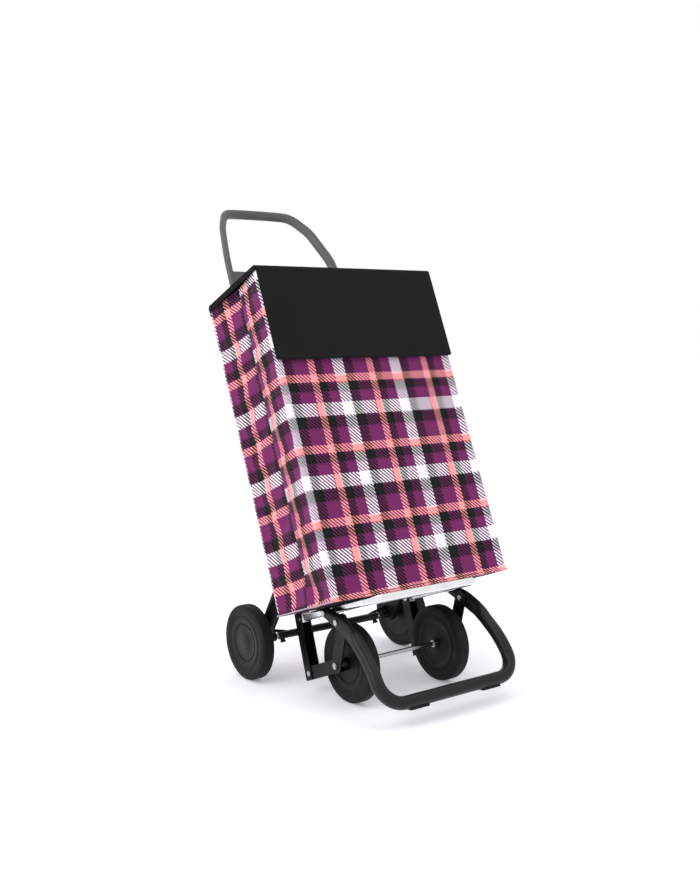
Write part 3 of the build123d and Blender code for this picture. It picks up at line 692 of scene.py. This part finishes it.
def make_lid():
    line = lid_line()
    columns = 54
    side = BAG_SIDE + 0.0012
    vertices = []
    for point in line:
        for x in smooth_steps(-side, side, columns):
            dome = LID_DOME * math.cos(math.pi * x / (2 * side))
            dome *= math.sin(math.pi * min(1.0, point.y / BAG_DEPTH))
            sway = 0.0
            if point.z < LID_TOP - 0.02:
                sway = flap_sway(x, point.z)
            vertices.append((x, point.y + sway, point.z + (dome if point.z > LID_TOP - 0.004 else 0.0)))
    lid = add_mesh("lid_cloth", vertices, grid_faces(len(line), columns), MATERIALS["lid"])
    fix_normals(lid)
    add_modifier(lid, "SUBSURF", levels=1, render_levels=1)
    add_modifier(lid, "SOLIDIFY", thickness=LID_CLOTH, offset=0.0)
    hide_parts("lid_panel", "lid_flap", "flap_hem")
    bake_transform(lid)
    return lid


def make_lid_band():
    """The bound edge that the lid turns down over each side."""
    for sign, name in ((-1, "left"), (1, "right")):
        x = sign * (BAG_SIDE + 0.0008)
        corners = [(x - sign * 0.010, 0.0005, LID_TOP - BAND / 2), (x, 0.0005, LID_TOP - BAND / 2 - 0.001),
                   (x, BAG_DEPTH + 0.001, LID_TOP - BAND / 2 + 0.0015)]
        path = rounded_path(corners, [0.006], 0.004)
        band = swept(f"lid_band_{name}", path, (0, 0, 1), lambda share: BAND_SECTION, MATERIALS["tape"],
                     sides=20, power=3.0)
        if sign < 0:
            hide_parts("lid_piping")
        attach(band, "lid")


def make_hinge_tape():
    """The strip that joins the lid to the top of the bag's back."""
    top = LID_TOP + 0.0006
    corners = [(0, -0.0006, HINGE_TAPE_FOOT), (0, -0.0006, LID_UNDER), (0, 0.0010, top), (0, 0.0120, top)]
    line = spread([Vector(corner) for corner in corners], 0.002)
    side = BAG_SIDE - 0.002
    columns = 24
    vertices = [(x, point.y, point.z) for point in line for x in smooth_steps(-side, side, columns)]
    tape = add_mesh("hinge_tape", vertices, grid_faces(len(line), columns), MATERIALS["tape"])
    fix_normals(tape)
    add_modifier(tape, "SOLIDIFY", thickness=0.0008, offset=0.0)
    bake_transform(tape)


def make_hem_tape():
    """The pale tape bound along the lower edge of each side of the bag."""
    for sign, name in ((-1, "left"), (1, "right")):
        line = []
        for ahead in smooth_steps(0.001, BAG_DEPTH - 0.001, 40):
            up = -BASE_DROP * ahead / BAG_DEPTH + 0.0016
            line.append(Vector((sign * (BAG_SIDE + 0.0002 - fold_depth(ahead, up)), ahead, up)))
        tape = swept(f"hem_tape_{name}", line, (0, 0, 1), lambda share: HEM_SECTION, MATERIALS["pale_tape"],
                     sides=12, power=3.0)
        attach(tape, "frame")


# ---- handle ----
def make_handle():
    rise = HANDLE_TOP - HANDLE_BEND_UP
    legs = [(-RAIL_X, 0.0, HANDLE_FOOT - HANDLE_BEND_UP), (-RAIL_X, 0.0, 0.23 * rise),
            (-0.83 * RAIL_X, 0.42 * HANDLE_SET_BACK, 0.70 * rise),
            (-0.63 * RAIL_X, 0.78 * HANDLE_SET_BACK, 0.95 * rise), (-0.31 * RAIL_X, HANDLE_SET_BACK, rise)]
    left = [(x, -HANDLE_BEHIND - back, HANDLE_BEND_UP + up) for x, back, up in legs]
    corners = left + [(-x, ahead, up) for x, ahead, up in reversed(left)]
    bends = [0.120, 0.110, 0.046, 0.080]
    path = rounded_path(corners, bends + bends[::-1], 0.004)
    piece = swept("handle_tube", path, (0.55, -0.83, 0.0), lambda share: HANDLE_SECTION, MATERIALS["grey"],
                  sides=32, power=2.3)
    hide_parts("handle_arch")
    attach(piece, "frame")


# ---- foot loop ----
def make_foot_loop():
    reach = LOOP_REACH - STAY_BOLT[0]
    drop = LOOP_BOTTOM - STAY_BOLT[1]
    shape = [(0.0, 0.0), (0.40, 0.20), (0.81, 0.56), (1.0, 1.0)]
    leg = [(STAY_BOLT[0] + reach * along, STAY_BOLT[1] + drop * down) for along, down in shape]
    leg = [LEG_BOLT] + leg
    splay = [0.0, 0.0, 0.0, LOOP_SPLAY / 2, LOOP_SPLAY]
    left = [(-LOOP_X - out, *place) for out, place in zip(splay, leg)]
    corners = left + [(-x, ahead, up) for x, ahead, up in reversed(left)]
    bends = [0.060, 0.080, 0.170, LOOP_CORNER]
    path = rounded_path(corners, bends + bends[::-1], 0.003)
    tip = path[0] + (path[0] - path[1]).normalized() * LOOP_TIP_RADIUS
    far_tip = path[-1] + (path[-1] - path[-2]).normalized() * LOOP_TIP_RADIUS
    path = spread([tip] + path + [far_tip], 0.003)
    total = sum((b - a).length for a, b in zip(path, path[1:]))
    heights = [(0.0, LOOP_TIP_RADIUS), (0.010, LOOP_TIP_RADIUS), (0.049, LOOP_FLAT_RADIUS),
               (LOOP_FLAT_END, LOOP_FLAT_RADIUS), (0.105, LOOP_RADIUS), (total, LOOP_RADIUS)]

    def size_at(share):
        gone = min(share, 1 - share) * total
        flat = 1 - min(1.0, max(0.0, (gone - LOOP_FLAT_END) / LOOP_FLARE))
        half_width = LOOP_RADIUS + (LOOP_PLATE / 2 - LOOP_RADIUS) * flat
        height = next(low + (high - low) * (gone - start) / (end - start)
                      for (start, low), (end, high) in zip(heights, heights[1:]) if gone <= end)
        tip_round = math.sqrt(max(0.0, 1 - max(0.0, 1 - gone / LOOP_TIP_RADIUS) ** 2))
        return half_width, height * max(0.18, tip_round)

    piece = swept("loop_tube", path, (1, 0, 0), size_at, MATERIALS["loop"], sides=32, power=2.4)
    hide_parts("foot_loop")
    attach(piece, "frame")


# ---- wheels ----
def tyre_profile():
    """The tyre's closed section: flat tread, round shoulders, stepped sidewall."""
    half = 0.013
    points = []
    for sign in (1, -1):
        shoulder = []
        for step in range(9):
            angle = math.radians(90 * step / 8)
            x = half - 0.0055 + 0.0055 * math.sin(angle)
            shoulder.append((x, WHEEL_RADIUS - 0.0055 + 0.0055 * math.cos(angle)))
        side = shoulder + [(half, 0.0605), (half - 0.0006, 0.0598), (half - 0.0012, HUB_RADIUS + 0.0025),
                           (half - 0.0020, HUB_RADIUS)]
        side = [(sign * x, radius) for x, radius in side]
        points += side if sign > 0 else side[::-1]
    return points


def disc_profile(inner, bore):
    """The moulded face of a wheel: rim, groove, raised ring and a dished middle."""
    face = 0.0118
    steps = [(face, HUB_RADIUS), (face - 0.0022, HUB_RADIUS - 0.0010), (face - 0.0022, HUB_RADIUS - 0.0022),
             (face, HUB_RADIUS - 0.0034), (face, HUB_RADIUS - 0.0065),
             (face - 0.0008, HUB_RADIUS - 0.0085), (face - 0.0012, 0.0372), (face - 0.0026, 0.0366),
             (face - 0.0026, 0.0352), (face - 0.0010, 0.0344),
             (face - 0.0014, 0.030), (face - 0.0010, 0.016), (face - 0.0002, 0.014), (face, bore)]
    back = [(inner, bore), (inner, HUB_RADIUS)]
    return steps + back


def make_wheels():
    ends = {"front": (FRONT_WHEEL_X, FRONT_AXLE), "rear": (REAR_WHEEL_X, REAR_AXLE)}
    for end, (track, axle) in ends.items():
        for side, sign in (("left", -1), ("right", 1)):
            body = f"{end}_{side}_wheel"
            centre = (sign * track, *axle)
            tyre = lathe(f"{body}_tyre", tyre_profile(), centre, MATERIALS["rubber"], WHEEL_STEPS,
                         mirrored=sign < 0)
            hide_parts(f"{end}_{side}_tyre")
            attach(tyre, body)
            outer_bore = 0.0125 if end == "front" else 0.0004
            outer = lathe(f"{body}_outer_disc", disc_profile(0.006, outer_bore), centre, MATERIALS["disc"],
                          WHEEL_STEPS, mirrored=sign < 0)
            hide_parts(f"{end}_{side}_cap")
            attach(outer, body)
            inner = lathe(f"{body}_inner_disc", disc_profile(0.006, 0.0122), centre, MATERIALS["disc"],
                          WHEEL_STEPS, mirrored=sign > 0)
            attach(inner, body)


# ---- stage ----
def make_stage():
    floor_size = 14.0
    paper = Shader("floor", (0.93, 0.93, 0.975), 0.7, Specular_IOR_Level=0.1, Emission_Strength=0.16)
    paper.surface.inputs["Emission Color"].default_value = (1, 1, 1, 1)
    stage = add_mesh("floor", [(-floor_size, -floor_size, 0), (floor_size, -floor_size, 0),
                               (floor_size, floor_size, 0), (-floor_size, floor_size, 0)],
                     [(0, 1, 2, 3)], paper.material, chassis=False)
    world_light = bpy.data.worlds.new("studio")
    bpy.context.scene.world = world_light
    world_light.use_nodes = True
    background = world_light.node_tree.nodes["Background"]
    background.inputs["Color"].default_value = (1.0, 1.0, 1.0, 1)
    background.inputs["Strength"].default_value = 1.0
    add_area((-2.9, 0.1, 2.0), 2.6, 44.0)
    add_area((0.4, -1.4, 3.0), 1.6, 12.0)
    bpy.context.scene.view_settings.view_transform = "Standard"


def add_area(place, size, power):
    light = bpy.data.lights.new("softbox", "AREA")
    light.size = size
    light.energy = power
    lamp = bpy.data.objects.new("softbox", light)
    lamp.location = place
    aim = Vector((0, 0, 0.4)) - Vector(place)
    lamp.rotation_euler = aim.to_track_quat("-Z", "Y").to_euler()
    bpy.context.scene.collection.objects.link(lamp)


def make_camera():
    camera_data = bpy.data.cameras.new("camera")
    camera_data.sensor_width = 36.0
    camera_data.lens = LENS
    camera = bpy.data.objects.new("camera", camera_data)
    rear_axle_y = JOINTS["rear_left_wheel_spin"]["pos_m"][1]
    camera.location = (CAMERA_X, rear_axle_y - CAMERA_AHEAD_OF_AXLE, CAMERA_UP)
    camera.rotation_euler = (math.pi / 2 + math.radians(PITCH), 0, math.radians(AZIMUTH))
    bpy.context.scene.collection.objects.link(camera)
    bpy.context.scene.camera = camera


def main():
    dress_cad_nodes()
    finish_bag()
    make_lid()
    make_lid_band()
    make_stitches()
    make_hinge_tape()
    make_hem_tape()
    make_handle()
    make_foot_loop()
    make_wheels()
    make_stage()
    make_camera()


main()
